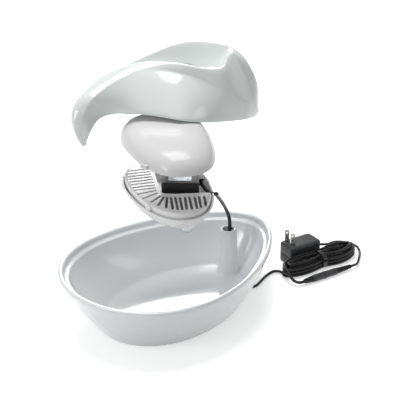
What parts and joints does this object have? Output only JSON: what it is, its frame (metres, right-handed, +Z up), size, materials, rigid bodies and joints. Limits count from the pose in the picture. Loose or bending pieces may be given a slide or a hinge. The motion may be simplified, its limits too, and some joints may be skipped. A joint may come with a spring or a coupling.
{
  "type": "pet water fountain",
  "caption": "Ceramic pet water fountain shown taken apart: leaf-shaped bowl with standpipe, oval filter and pump housing with lid, swirled cover with dish, and plug-in adapter on a tied lead.",
  "frame": {"origin": "on the surface the bowl stands on, under the middle of the bowl's rim", "axes": "+X along the bowl towards its standpipe, +Y across the bowl, to the left when looking along +X, +Z up"},
  "size_m": [0.4247, 0.222, 0.3098],
  "materials": {
    "ceramic": "glossy white glaze over stoneware",
    "cover_glaze": "glossy pale grey-green glaze over stoneware",
    "clear_rubber": "clear silicone",
    "white_plastic": "glossy white",
    "lid_plastic": "glossy white",
    "carbon": "grey fleece over carbon",
    "foam": "open foam",
    "black_plastic": "satin black",
    "label": "plain foil",
    "impeller_plastic": "white",
    "magnet": "dark ferrite",
    "steel": "bright",
    "lamination": "dull laminations",
    "copper": "enamelled copper wire",
    "black_rubber": "satin black",
    "tie_plastic": "black twist tie",
    "connector_plastic": "satin dark grey",
    "adapter_plastic": "fine-grained dark grey"
  },
  "bodies": {
    "base": {"bowl": "ceramic", "riser_lead": "black_rubber", "drop_lead": "black_rubber", "supply_lead": "black_rubber", "lead_hank": "black_rubber", "lead_tie": "tie_plastic", "jack_lead": "black_rubber", "jack": "connector_plastic", "jack_relief": "black_rubber", "plug": "connector_plastic", "plug_relief": "black_rubber", "adapter_lead": "black_rubber", "adapter_relief": "black_rubber", "adapter_base": "adapter_plastic", "adapter_top": "adapter_plastic", "adapter_blades": "steel", "transformer_core": "lamination", "transformer_coils": "copper"},
    "housing": {"housing_tray": "white_plastic", "rubber_feet": "clear_rubber"},
    "pump": {"pump_case": "black_plastic", "pump_label": "label", "pump_inlet": "black_plastic", "volute": "black_plastic", "impeller_shaft": "steel", "shaft_bushes": "clear_rubber", "stator_core": "lamination", "stator_coil": "copper", "outlet_elbow": "black_plastic", "pump_gland": "black_rubber", "pump_lead": "black_rubber"},
    "rotor": {"impeller": "impeller_plastic", "impeller_magnet": "magnet"},
    "filter": {"filter_frame": "white_plastic", "filter_carbon": "carbon", "filter_foam": "foam"},
    "cover": {"cover": "cover_glaze", "dish_grommet": "clear_rubber", "riser_hose": "clear_rubber"},
    "lid": {"lid": "lid_plastic", "lid_grommet": "clear_rubber"}
  },
  "joints": [
    {"name": "housing_lift", "type": "slide", "parent": "base", "child": "housing", "axis": [0, 0, 1], "range_m": [-0.1215, 0], "deforming": ["riser_lead"]},
    {"name": "pump_lift", "type": "slide", "parent": "housing", "child": "pump", "axis": [0, 0, 1], "range_m": [0, 0.02], "deforming": ["pump_lead"]},
    {"name": "impeller_spin", "type": "hinge", "parent": "pump", "child": "rotor", "pos_m": [0.01814, 0.00155, 0.161], "axis": [0.7314, 0.682, 0], "continuous": true},
    {"name": "filter_lift", "type": "slide", "parent": "pump", "child": "filter", "axis": [0, 0, 1], "range_m": [0, 0.02]},
    {"name": "cover_lift", "type": "slide", "parent": "filter", "child": "cover", "axis": [0, 0, 1], "range_m": [-0.0315, 0]},
    {"name": "lid_lift", "type": "slide", "parent": "cover", "child": "lid", "axis": [0, 0, 1], "range_m": [-0.0225, 0]}
  ]
}
